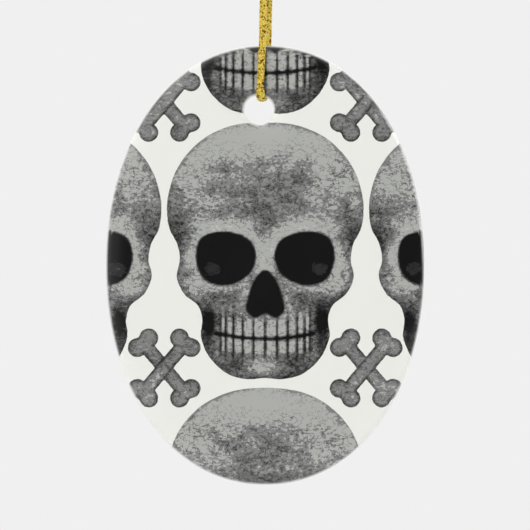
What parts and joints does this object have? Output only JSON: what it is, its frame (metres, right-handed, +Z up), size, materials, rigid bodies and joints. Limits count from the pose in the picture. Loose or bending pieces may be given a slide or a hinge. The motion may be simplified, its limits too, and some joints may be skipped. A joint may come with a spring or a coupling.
{
  "type": "hanging ornament",
  "caption": "Flat oval glazed ceramic ornament with a printed skull pattern, hung by a thin knotted metallic cord through a round hole near its top.",
  "frame": {"origin": "the hanging eye: the point just under the knot, between the two strands of the cord, where a hook's wire rests", "axes": "+Z up, +X to the right as the printed face is seen, -Y the way the printed face looks"},
  "size_m": [0.0554, 0.0062, 0.1011],
  "materials": {
    "glazed_ceramic": "gloss glaze over a fired print",
    "gold_cord": "twisted metallic thread"
  },
  "bodies": {
    "hanger": {"cord_knot_front": "gold_cord", "cord_knot_back": "gold_cord"},
    "cord_loop": {"cord_front_strand": "gold_cord", "cord_bight": "gold_cord", "cord_back_strand": "gold_cord"},
    "ornament": {"ceramic_plate": "glazed_ceramic"}
  },
  "joints": [
    {"name": "cord_twist", "type": "hinge", "parent": "hanger", "child": "cord_loop", "pos_m": [0, 0, 0], "axis": [0, 0, 1], "range_deg": [-180, 180], "stiffness_Nm_per_rad": 0.00004},
    {"name": "ornament_swing", "type": "hinge", "parent": "cord_loop", "child": "ornament", "pos_m": [-0.00133, 0, -0.02325], "axis": [0, 1, 0], "range_deg": [-40, 40]}
  ]
}
